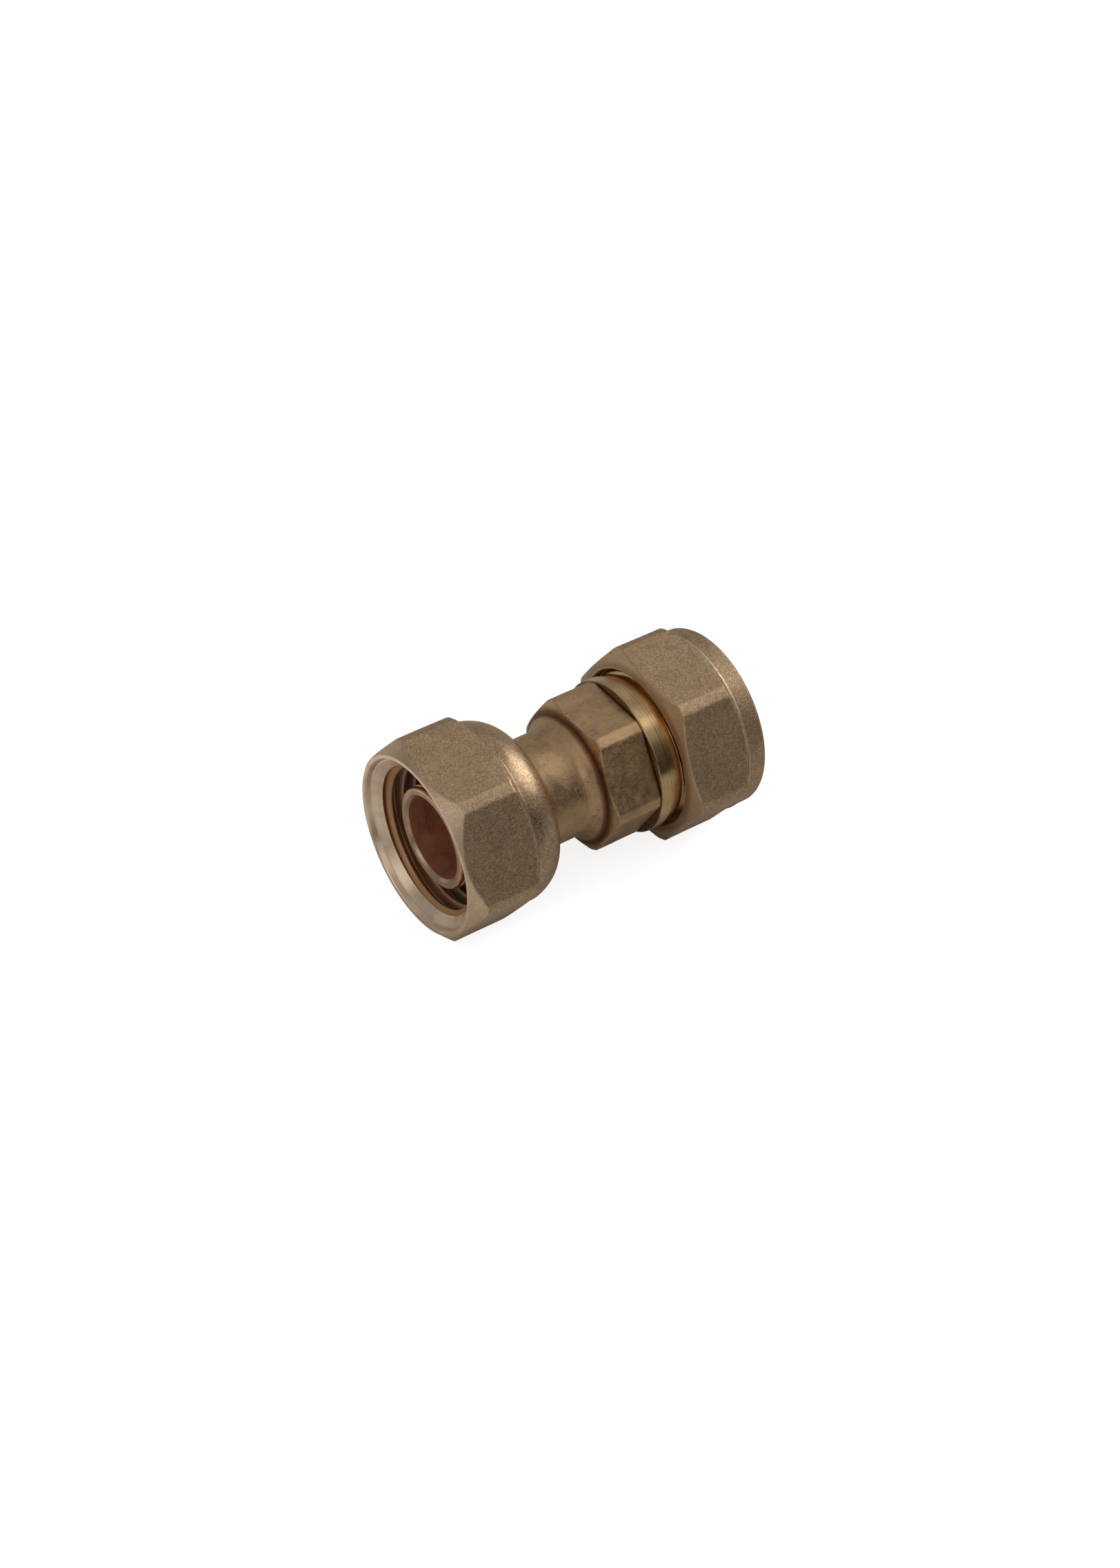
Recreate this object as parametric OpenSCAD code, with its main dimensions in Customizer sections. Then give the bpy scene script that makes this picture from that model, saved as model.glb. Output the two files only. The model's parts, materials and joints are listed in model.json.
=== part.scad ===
// Straight tap connector: 15 mm compression end, 1/2 inch swivel nut end.
// Every length is in millimetres. The X axis is the water way: the tap end points to -X, the pipe end to +X.
// x = 0 is the shoulder the end of the copper pipe rests against. Both nuts lie with one flat facing down (-Z).
// "Front" is the tap end of a piece (-X), "rear" its pipe end (+X).

/* [Pipe end] */
// Outside diameter of the copper pipe the socket takes
pipe_d = 15; // [14.8:0.1:15]
// Diametral clearance between the pipe and its socket
pipe_gap = 0.15; // [0.1:0.05:0.2]
// Length of the socket from the pipe stop to the end of the male thread
socket_len = 10.5; // [10.3:0.1:10.8]
// Diameter of the water way through the tail and the body
bore_d = 11; // [10:0.1:11.6]

/* [Body] */
// Across flats of the body's hexagon
body_af = 18.5; // [18:0.1:19]
// Diameter the body hexagon's corners are turned down to
body_corner_d = 20.56; // [20.4:0.02:20.6]
// Turn of the body's hexagon about the axis, from the nuts' flats
body_turn = -5.2; // [-30:0.1:30]
// Where the hexagon's rear face lies
body_hex_end = 2.2; // [2:0.05:2.3]
// Where the turned shoulder cone leaves the neck
shoulder_x = -6.45; // [-7:0.05:-6]
// Growth in radius of the cone in front of the hexagon for each millimetre along the axis
shoulder_slope = 2; // [1.8:0.05:2.2]
// Diameter of the neck between the swivel nut and the shoulder
neck_d = 14.5; // [14.3:0.1:14.7]
// Diameter of the bright collar between the hexagon and the thread
land_d = 20.8; // [20.6:0.1:20.8]
// Where the collar ends
land_end = 3.9; // [3.7:0.05:4]
// Diameter of the plain step between the collar and the thread
step_d = 20.25; // [20:0.05:20.3]
// Where that step ends and the thread runs in
step_end = 5.6; // [5.4:0.05:5.65]

/* [Thread] */
// Pitch of the pipe thread, 14 turns to the inch
pitch = 1.8143; // [1.8143]
// Male thread, outside diameter
male_d = 20.6; // [20.5:0.05:20.7]
// Male thread, diameter of the core
male_core_d = 18.6; // [18.5:0.05:18.65]
// Swivel nut's female thread, diameter of the crests
female_minor_d = 18.631; // [18.631]
// Swivel nut's female thread, diameter of the roots
female_major_d = 20.955; // [20.955]
// Flat steps to one turn of a thread
thread_steps = 36; // [24:4:48]

/* [Compression nut] */
// Across flats of the compression nut
comp_af = 24; // [23.8:0.1:24.2]
// Diameter the compression nut's corners are rounded off at
comp_corner_d = 26.86; // [26.8:0.02:27]
// Where the nut's open face lies
comp_front = 5.45; // [5.4:0.05:5.6]
// Where the nut's hexagon ends and its round collar starts
comp_hex_end = 14.55; // [14.3:0.05:14.8]
// Where the nut's rear face lies
comp_rear = 17.5; // [17.4:0.05:17.7]
// Diameter of the nut's pipe hole
comp_hole_d = 15.3; // [15.2:0.05:15.4]

/* [Olive] */
// Largest diameter of the olive
olive_d = 16.9; // [16.7:0.1:17]
// Diameter of the olive's bore
olive_bore_d = 15.12; // [15.1:0.01:15.14]
// Length of the olive
olive_len = 5.1; // [4.8:0.1:5.1]

/* [Swivel nut] */
// Across flats of the swivel nut
swivel_af = 24.5; // [24.3:0.1:24.7]
// Diameter the swivel nut's corners are rounded off at
swivel_corner_d = 27.42; // [27.3:0.02:27.6]
// Where the nut's mouth lies
swivel_front = -28; // [-28.2:0.1:-27.8]
// Length of the nut's hexagon
swivel_hex_len = 10.3; // [10:0.1:10.5]
// Length of the domed collar behind the hexagon
swivel_dome_len = 5.1; // [5:0.05:5.2]
// Diameter at the small end of the dome
swivel_dome_d = 16.5; // [16.4:0.1:16.8]
// Diameter of the hole the tail passes through
swivel_hole_d = 15.4; // [15.35:0.05:15.5]
// Thickness of the wall behind the retaining ring
swivel_wall = 2; // [1.8:0.1:2.1]

/* [Tail] */
// Where the nose of the tail ends
nose_x = -25.65; // [-25.9:0.05:-25.4]
// Diameter of the spigot
spigot_d = 13.7; // [13.6:0.05:13.8]
// Diameter of the sealing flange
flange_d = 15.2; // [15.1:0.05:15.2]
// Where the sealing flange's front face lies
flange_x = -19; // [-19.2:0.05:-18.8]
// Thickness of the sealing flange
flange_t = 1.2; // [1.1:0.05:1.3]

/* [Ring and washer] */
// Outside diameter of the split retaining ring
ring_d = 17.6; // [17.3:0.1:17.8]
// Thickness of the retaining ring
ring_t = 1.1; // [1:0.05:1.15]
// Opening of the split in the retaining ring, in degrees
ring_split = 32; // [20:1:60]
// Outside diameter of the fibre washer
washer_d = 18.2; // [18:0.1:18.3]
// Bore of the fibre washer
washer_bore_d = 13.9; // [13.9:0.05:14.1]
// Thickness of the fibre washer
washer_t = 1.75; // [1.5:0.05:2]

/* [Hidden] */
$fn = 96;
past = 1;        // how far a cut or a joint runs past the face it crosses
hex_edge_r = 0.3; // rounding of the hexagons' long edges
neck_r = neck_d / 2;
socket_r = (pipe_d + pipe_gap) / 2;
male_r = male_d / 2;
core_r = male_core_d / 2;
// the ring has this much play on each side in its groove
ring_play = 0.1;
groove_front = flange_x + flange_t;
groove_rear = groove_front + ring_t + 2 * ring_play;
groove_r = neck_r - 0.5;
swivel_hex_end = swivel_front + swivel_hex_len;
swivel_rear = swivel_hex_end + swivel_dome_len;
// the two threads that run together share one helix: its middle is at x = helix_x where the angle is 0
helix_x = 4.3;
// half the angle between a thread's flanks is 27.5 degrees
flank = tan(27.5);
male_crest_w = 0.4;
nut_color = [0.66, 0.53, 0.38];

// ---------- helpers ----------

// A solid turned about X from an outline of [radius, x] points, closed straight down to the axis at both ends
module turned(outline)
    rotate([0, 90, 0]) rotate_extrude()
        polygon(concat([[0, outline[0][1]]], outline, [[0, outline[len(outline) - 1][1]]]));

// A round solid along X
module rod(x0, x1, r) translate([x0, 0, 0]) rotate([0, 90, 0]) cylinder(h = x1 - x0, r = r);

// Outline of a hexagon with rounded corners, five points to a corner
function hexagon(across_flats) = [
    for (k = [0:5], j = [0:4])
        let (
            centre_r = (across_flats / 2 - hex_edge_r) / cos(30),
            corner = 60 * k + 30,
            arc = corner - 30 + 15 * j
        )
            [centre_r * cos(corner) + hex_edge_r * cos(arc), centre_r * sin(corner) + hex_edge_r * sin(arc)]
];

// A hexagonal bar along X, one flat facing down
module hex_bar(x0, x1, across_flats, turn = 0)
    translate([x0, 0, 0]) rotate([0, 90, 0]) rotate([0, 0, turn])
        linear_extrude(height = x1 - x0) polygon(hexagon(across_flats));

// A nut's hexagon, chamfered at both ends: each chamfer runs from its face radius out to the corners.
// A slope is the growth in radius for each millimetre along the axis.
module nut_hex(x0, x1, across_flats, corner_r, front_r, front_slope, rear_r, rear_slope)
    intersection() {
        hex_bar(x0, x1, across_flats);
        turned([
            [front_r, x0],
            [corner_r, x0 + (corner_r - front_r) / front_slope],
            [corner_r, x1 - (corner_r - rear_r) / rear_slope],
            [rear_r, x1]
        ]);
    }

// 1 along the thread, less within fade turns of either end
function ramp(turn, first, last, fade) = min(1, (turn - first) / fade, (last - turn) / fade);

// One thread as a closed strip that winds about X from turn first to turn last.
// Its cross-section is a trapezium, top_w wide at top_r, with its middle at x0 where the angle is 0.
// Over the first and last fade turns it narrows, and its top sinks to radius sunk_r.
module strip(x0, first, last, base_r, top_r, top_w, sunk_r, fade) {
    base_w = top_w + 2 * flank * (top_r - base_r);
    steps = ceil((last - first) * thread_steps);
    points = [
        for (i = [0:steps])
            let (
                turn = first + (last - first) * i / steps,
                full = ramp(turn, first, last, fade),
                r = sunk_r + (top_r - sunk_r) * full,
                half = (0.3 + 0.7 * full) / 2
            )
                for (q = [[base_r, -base_w], [r, -top_w], [r, top_w], [base_r, base_w]])
                    [x0 + pitch * turn + q[1] * half, q[0] * cos(360 * turn), q[0] * sin(360 * turn)]
    ];
    end = 4 * steps;
    faces = concat(
        [[0, 2, 1], [0, 3, 2]],
        [for (i = [0:steps - 1], k = [0:3])
            let (here = 4 * i + k, next = 4 * i + (k + 1) % 4)
                each [[here, next, here + 4], [next, next + 4, here + 4]]],
        [[end, end + 1, end + 2], [end, end + 2, end + 3]]
    );
    polyhedron(points, faces, convexity = 8);
}

// ---------- parts of the body ----------

// Nose, spigot, sealing flange, ring groove and neck
module tail() {
    spigot_r = spigot_d / 2;
    relief_x = flange_x - washer_t - 0.15;
    relief_r = spigot_r - 0.25;
    turned([
        // nose
        [spigot_r - 0.5, nose_x],
        [spigot_r - 0.2, nose_x + 0.1],
        [spigot_r - 0.05, nose_x + 0.32],
        [spigot_r - 0.05, nose_x + 0.6],
        [spigot_r - 0.22, nose_x + 0.68],
        [spigot_r - 0.22, nose_x + 0.78],
        // spigot, thinner under the washer
        [spigot_r, nose_x + 0.9],
        [spigot_r, relief_x], [relief_r, relief_x], [relief_r, flange_x],
        // flange and groove
        [flange_d / 2, flange_x], [flange_d / 2, groove_front],
        [groove_r, groove_front], [groove_r, groove_rear],
        // neck, flaring into the shoulder
        [neck_r, groove_rear],
        [neck_r, shoulder_x - 0.8],
        [neck_r + 0.06, shoulder_x - 0.35],
        [neck_r + 0.22, shoulder_x],
        [neck_r + 0.5, shoulder_x + 0.4],
        [neck_r + 0.8, shoulder_x + 0.75],
        [neck_r + 0.8, 0]
    ]);
}

// Hexagon, cut by the shoulder cone in front, with a fine turned valley in the cone just before the flats
module body_hex() {
    corner_r = body_corner_d / 2;
    cone_r = neck_r + 1.6;
    cone_x = shoulder_x + 1.5;
    intersection() {
        hex_bar(shoulder_x, body_hex_end, body_af, body_turn);
        turned([
            [neck_r + 0.22, shoulder_x],
            [neck_r + 0.5, shoulder_x + 0.4],
            [neck_r + 1.44, shoulder_x + 1.3],
            [neck_r + 1.38, shoulder_x + 1.42],
            [cone_r, cone_x],
            [corner_r, cone_x + (corner_r - cone_r) / shoulder_slope],
            [corner_r, body_hex_end]
        ]);
    }
}

// Bright collar, the plain step behind it, and the core of the male thread
module collar_and_core() {
    root_r = body_af / 2 - 0.5; // inside the hexagon
    land_r = land_d / 2;
    land_x = body_hex_end - 0.01;
    step_r = step_d / 2;
    turned([
        [root_r, 0], [root_r, land_x],
        [land_r - 0.15, land_x], [land_r, body_hex_end + 0.14],
        [land_r, land_end - 0.12], [land_r - 0.12, land_end],
        [step_r - 0.1, land_end], [step_r, land_end + 0.1],
        [step_r, step_end - 0.15], [step_r - 0.2, step_end],
        [core_r, step_end], [core_r, socket_len - 0.35], [core_r - 0.3, socket_len]
    ]);
}

// ---------- nodes ----------

// One-piece brass body: tail, shoulder, hexagon, collar, male thread and pipe socket
module body() color([0.62, 0.45, 0.24]) {
    bore_r = bore_d / 2;
    seat_depth = 1.9;
    seat_slope = 0.51;
    difference() {
        union() {
            tail();
            body_hex();
            collar_and_core();
            strip(x0 = helix_x, first = 0.75, last = (socket_len - helix_x) / pitch - 0.3,
                base_r = core_r - 0.15, top_r = male_r, top_w = male_crest_w,
                sunk_r = core_r - 0.1, fade = 0.3);
        }
        // water way, flared at the nose
        rod(nose_x - past, past, bore_r);
        turned([[bore_r + 1.35, nose_x - past], [bore_r, nose_x + 0.35]]);
        // pipe socket, and the cone the olive seals on
        rod(0, socket_len + past, socket_r);
        turned([
            [socket_r, socket_len - seat_depth],
            [socket_r + seat_slope * (seat_depth + past), socket_len + past]
        ]);
    }
}

// Swivel nut: chamfered hexagon, countersunk mouth, female pipe thread, domed collar that closes on the neck
module swivel_nut() color(nut_color) {
    small_r = swivel_dome_d / 2;
    large_r = swivel_af / 2 - 0.25;
    hole_r = swivel_hole_d / 2;
    crest_r = female_minor_d / 2;
    chamber_r = 9.6;
    wall_x = swivel_rear - swivel_wall;
    difference() {
        union() {
            nut_hex(swivel_front, swivel_hex_end, swivel_af, swivel_corner_d / 2,
                front_r = 12.05, front_slope = 1, rear_r = 12.16, rear_slope = 1.64);
            // dome, a quarter of an ellipse
            turned(concat(
                [[large_r, swivel_hex_end - past]],
                [for (a = [0:7.5:90])
                    [small_r + (large_r - small_r) * cos(a), swivel_hex_end + swivel_dome_len * sin(a)]]
            ));
        }
        turned([
            // stepped rim and countersink
            [11.5, swivel_front - past],
            [11.5, swivel_front + 0.25],
            [11.17, swivel_front + 0.7],
            [9.95, swivel_front + 1.75],
            // the crests' cylinder
            [crest_r, swivel_front + 2.15], [crest_r, swivel_hex_end - 0.6],
            // chamber for the ring
            [chamber_r, swivel_hex_end - 0.3],
            [chamber_r, wall_x - 1.6],
            [9.2, wall_x - 0.5],
            [8.9, wall_x],
            // hole for the tail
            [hole_r, wall_x], [hole_r, swivel_rear + past]
        ]);
        strip(x0 = swivel_front, first = 0.55, last = (swivel_hex_len - 0.4) / pitch,
            base_r = crest_r - 0.12, top_r = female_major_d / 2, top_w = 0.36,
            sunk_r = crest_r - 0.08, fade = 0.35);
    }
}

// Split ring in the tail's groove: it stops the swivel nut coming off over the nose
module retaining_ring() color([0.72, 0.6, 0.4]) {
    front = groove_front + ring_play;
    rear = front + ring_t;
    reach = 20; // beyond the ring's rim
    half = ring_split / 2;
    difference() {
        rod(front, rear, ring_d / 2);
        rod(front - past, rear + past, groove_r + 0.15);
        // the split, a wedge opening towards +Y
        rotate([90, 0, 0]) rotate([0, 90, 0]) linear_extrude(height = 80, center = true)
            polygon([[0, 0], for (a = [-half, half]) [reach * cos(a), reach * sin(a)]]);
    }
}

// Flat sealing washer on the spigot, in front of the flange
module fibre_washer() color([0.45, 0.2, 0.13]) {
    flange_gap = 0.05;
    difference() {
        rod(flange_x - washer_t - flange_gap, flange_x - flange_gap, washer_d / 2);
        rod(flange_x - washer_t - past, flange_x + past, washer_bore_d / 2);
    }
}

// Barrel-shaped ring that the compression nut squeezes onto the pipe
module olive() color([0.8, 0.62, 0.33]) {
    rear = comp_rear - 1.75;
    front = rear - olive_len;
    bore_r = olive_bore_d / 2;
    face_r = bore_r + 0.25;
    outer_r = olive_d / 2;
    difference() {
        turned([
            [face_r, front], [outer_r - 0.08, front + 1.1], [outer_r, front + 1.45],
            [outer_r, rear - 1.6], [outer_r - 0.08, rear - 1.25], [face_r, rear]
        ]);
        rod(front - past, rear + past, bore_r);
    }
}

// Compression nut: chamfered hexagon, round collar, female pipe thread and the cone that drives the olive
module compression_nut() color(nut_color) {
    hole_r = comp_hole_d / 2;
    flare_r = hole_r + 0.55;
    crest_r = core_r + 0.15;
    root_gap = 0.2;
    width_gap = 0.24; // added to the groove's width
    thread_end = comp_rear - 4.9;
    difference() {
        union() {
            nut_hex(comp_front, comp_hex_end, comp_af, comp_corner_d / 2,
                front_r = 11.02, front_slope = 2.28, rear_r = 11.95, rear_slope = 1.71);
            // round collar
            turned([
                [11.9, comp_hex_end - past],
                [11.9, comp_hex_end],
                [12.16, comp_hex_end + 0.08],
                [12.16, comp_hex_end + 0.2],
                [12.1, comp_hex_end + 0.32],
                [12.1, comp_rear - 0.4],
                [12.03, comp_rear - 0.15],
                [11.88, comp_rear - 0.03],
                [11.7, comp_rear]
            ]);
        }
        turned([
            // mouth
            [10.88, comp_front - past],
            [10.88, comp_front + 0.05],
            [10.7, comp_front + 0.25],
            [10.7, comp_front + 1.25],
            // the crests' cylinder
            [crest_r, comp_front + 2.05], [crest_r, thread_end],
            // olive chamber and cone
            [8.85, comp_rear - 4.6], [8.85, comp_rear - 3.7],
            // pipe hole, flared at the rear face
            [hole_r, comp_rear - 1.2], [hole_r, comp_rear - 0.45],
            [flare_r, comp_rear + 0.1], [flare_r, comp_rear + past]
        ]);
        strip(x0 = helix_x, first = (comp_front + 0.15 - helix_x) / pitch,
            last = (thread_end - 0.2 - helix_x) / pitch,
            base_r = crest_r - 0.15, top_r = male_r + root_gap,
            top_w = male_crest_w + width_gap - 2 * root_gap * flank,
            sunk_r = crest_r - 0.12, fade = 0.3);
    }
}

body();
swivel_nut();
retaining_ring();
fibre_washer();
olive();
compression_nut();
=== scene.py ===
"""A straight tap connector in brass, lying along x with its axis on y = z = 0.

From -x to +x: the tail with its fibre washer, inside a swivel nut whose thread opens
towards -x; the body with its hexagon and male thread; the olive and the compression nut.
Sizes are in mm and become metres as each mesh is made. Angles round the axis start
at +y and turn towards +z.
"""
import bmesh
import bpy
import json
import math
import numpy as np
from mathutils import Matrix, Vector, noise


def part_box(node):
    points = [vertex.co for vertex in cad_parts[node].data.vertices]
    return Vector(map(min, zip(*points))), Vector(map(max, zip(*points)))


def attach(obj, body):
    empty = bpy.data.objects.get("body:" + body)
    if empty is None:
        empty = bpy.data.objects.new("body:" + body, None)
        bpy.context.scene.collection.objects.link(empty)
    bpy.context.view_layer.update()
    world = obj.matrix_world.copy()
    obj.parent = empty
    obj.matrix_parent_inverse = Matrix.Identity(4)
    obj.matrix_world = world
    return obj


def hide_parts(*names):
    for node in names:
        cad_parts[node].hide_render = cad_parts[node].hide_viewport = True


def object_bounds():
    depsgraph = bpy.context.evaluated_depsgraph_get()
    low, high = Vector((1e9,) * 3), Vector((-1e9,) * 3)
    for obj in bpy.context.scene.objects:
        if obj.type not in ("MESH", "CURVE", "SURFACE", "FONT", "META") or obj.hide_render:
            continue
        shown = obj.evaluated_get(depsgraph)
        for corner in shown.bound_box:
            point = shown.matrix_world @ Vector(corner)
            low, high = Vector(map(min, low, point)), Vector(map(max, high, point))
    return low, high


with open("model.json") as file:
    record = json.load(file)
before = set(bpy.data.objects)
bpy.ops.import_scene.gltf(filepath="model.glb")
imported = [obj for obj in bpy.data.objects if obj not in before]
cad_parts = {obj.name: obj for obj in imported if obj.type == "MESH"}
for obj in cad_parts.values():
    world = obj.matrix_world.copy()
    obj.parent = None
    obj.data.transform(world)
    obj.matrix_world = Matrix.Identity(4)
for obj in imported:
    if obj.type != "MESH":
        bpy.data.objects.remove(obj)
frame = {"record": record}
cad_lo, cad_hi = [list(v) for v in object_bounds()]
MM = 0.001
TAU = 2 * math.pi

# ------------------------------------------------------------------ sizes from the frame
MOUNTS = {mount["name"]: mount for mount in frame["record"]["mounts"]}


def extent(node, axis):
    """Size of a CAD piece along an axis."""
    lo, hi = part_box(node)
    return (hi[axis] - lo[axis]) / MM


def span(node):
    """Lowest and highest x of a CAD piece."""
    lo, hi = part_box(node)
    return lo[0] / MM, hi[0] / MM


def mount_radius(name):
    return MOUNTS[name]["dims"]["r_mm"]


NOSE, SOCKET_END = span("body")
SWIVEL_START, SWIVEL_END = span("swivel_nut")
COMP_START, COMP_END = span("compression_nut")
RING_START, RING_END = span("retaining_ring")
WASHER_START, WASHER_END = span("fibre_washer")
OLIVE_START, OLIVE_END = span("olive")
SWIVEL_FLATS = extent("swivel_nut", 2)
RING_R = extent("retaining_ring", 1) / 2
WASHER_R = extent("fibre_washer", 1) / 2
OLIVE_R = extent("olive", 1) / 2
SPIGOT_R = mount_radius("tap_spigot")
SOCKET_R = mount_radius("pipe_socket")
TAP_CREST_R = mount_radius("tap_thread")

# ------------------------------------------------------------------ other driving sizes
PITCH = 1.8143
THREAD_TRIANGLE = 0.960491 * PITCH  # height of the sharp thread form
THREAD_DEPTH = 1.162
PIPE_THREAD_X = 4.3                 # a root of the compression thread at angle 0
COMP_CREST_R = 9.45

SWIVEL_HEX_END = SWIVEL_START + 10.3
COMP_HEX_END = COMP_START + 9.1
COMP_FLATS = 24.0
BODY_FLATS = 18.5
BODY_TURN = -5.2                    # degrees the body's hexagon is turned
SHOULDER = -6.45                    # where the neck starts to flare
BODY_HEX_END = 2.2
COLLAR_END = 3.9
MALE_START = 5.6


# ------------------------------------------------------------------ shaping functions
def smooth_min(a, b, soft):
    share = np.clip(0.5 + 0.5 * (b - a) / soft, 0, 1)
    return b * (1 - share) + a * share - soft * share * (1 - share)


def smooth_max(a, b, soft):
    return -smooth_min(-a, -b, soft)


def ramp(value, start, end):
    """Smooth step from 0 at start to 1 at end."""
    t = np.clip((value - start) / (end - start), 0, 1)
    return t * t * (3 - 2 * t)


def hexagon(theta, flats, corner, soft, turn=0.0, rounding=0.3):
    """Polar radius of a hexagon whose rounded corners are cut back to a circle.

    flats: width across flats; corner: radius of the circle; turn: degrees, 0 puts a
    corner at angle 0 and flats facing up and down.
    """
    phi = (theta - math.radians(turn)) % (math.pi / 3)
    phi = np.where(phi > math.pi / 6, phi - math.pi / 3, phi)
    centre = (flats / 2 - rounding) / math.cos(math.pi / 6)
    flat = (flats / 2) / np.cos(math.pi / 6 - np.abs(phi))
    arc = centre * np.cos(phi)
    arc = arc + np.sqrt(np.maximum(rounding**2 - (centre * np.sin(phi)) ** 2, 0))
    edge = math.atan2(rounding * 0.5, centre + rounding * math.cos(math.pi / 6))
    return smooth_min(np.where(np.abs(phi) < edge, arc, flat), corner, soft)


def whitworth(x, theta, root_x, soft=0.34):
    """Female thread with rounded 55 degree flanks: 0 at a crest, THREAD_DEPTH at a root.

    A root's middle is at root_x where theta is 0.
    """
    turns = (x - root_x) / PITCH - theta / TAU
    off = np.abs(turns - np.round(turns))
    depth = THREAD_TRIANGLE * (1 - 2 * off) - THREAD_TRIANGLE / 6
    return smooth_max(smooth_min(depth, THREAD_DEPTH, soft), 0.0, soft)


def hex_angles(turn=0.0):
    """Angles for one revolution, closer together at the six corners."""
    steps = [*np.linspace(-6, 6, 19)[:-1], *np.linspace(6, 54, 19)[:-1]]
    return np.radians(np.array([60 * k + turn + step for k in range(6) for step in steps]))


def fillet_points(corner, before, after, fillet):
    """Points of one rounded corner; before and after lead to its neighbours.

    Returns None where the corner stays sharp.
    """
    len_before, len_after = np.linalg.norm(before), np.linalg.norm(after)
    to_before, to_after = before / len_before, after / len_after
    cosine = max(-1, min(1, float(np.dot(to_before, to_after))))
    turn = math.pi - math.acos(cosine)
    if fillet <= 0 or turn < 0.05:
        return None
    cut = min(fillet * math.tan(turn / 2), 0.46 * len_before, 0.46 * len_after)
    radius = cut / math.tan(turn / 2)
    first, last = corner + to_before * cut, corner + to_after * cut
    inward = (to_before + to_after) / np.linalg.norm(to_before + to_after)
    centre = corner + inward * (radius / math.cos(turn / 2))
    count = max(2, int(math.ceil(math.degrees(turn) / 18)))
    angle = math.atan2(first[1] - centre[1], first[0] - centre[0])
    sweep = math.atan2(last[1] - centre[1], last[0] - centre[0]) - angle
    sweep = (sweep + math.pi) % TAU - math.pi
    arc = []
    for j in range(count + 1):
        a = angle + sweep * j / count
        arc.append(centre + radius * np.array([math.cos(a), math.sin(a)]))
    # one more point on each straight holds the shading flat beside the fillet
    guard = min(0.06, 0.25 * len_before, 0.25 * len_after) * 0.5
    return [first + to_before * guard, *arc, last + to_after * guard]


def outline_stations(outline):
    """((x, r), tag) stations round a closed outline of (x, r, fillet, step, tag) points.

    Step (longest spacing) and tag belong to the edge that starts at the point.
    """
    count = len(outline)
    places = [np.array(point[:2], float) for point in outline]
    corners = []
    for i, (_, _, fillet, _, tag) in enumerate(outline):
        corner = places[i]
        before, after = places[i - 1] - corner, places[(i + 1) % count] - corner
        points = fillet_points(corner, before, after, fillet)
        if points is None:
            corners.append([(corner, tag)])
            continue
        half = len(points) // 2
        tags = [outline[i - 1][4]] * half + [tag] * (len(points) - half)
        corners.append(list(zip(points, tags)))
    stations = []
    for i, (_, _, _, step, tag) in enumerate(outline):
        stations += corners[i]
        a, b = corners[i][-1][0], corners[(i + 1) % count][0][0]
        pieces = int(math.ceil(np.linalg.norm(b - a) / step))
        stations += [(a + (b - a) * j / pieces, tag) for j in range(1, pieces)]
    return stations


def grain(points, size, amount, seed):
    """A gentle, repeatable unevenness of a cast or drawn surface."""
    shift = Vector((seed * 7.13, seed * 3.71, seed * 1.97))
    return np.array([noise.noise(Vector(point) / size + shift) for point in points]) * amount


def add_piece(mesh, body, node):
    """Shade a mesh smooth, make its object, attach it to its body and hide the CAD part it stands
    for.
    """
    mesh.polygons.foreach_set("use_smooth", np.ones(len(mesh.polygons), bool))
    piece = bpy.data.objects.new(mesh.name, mesh)
    bpy.context.scene.collection.objects.link(piece)
    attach(piece, body)
    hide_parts(node)


def plain_radius(x, r, theta, tag):
    return r


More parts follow.
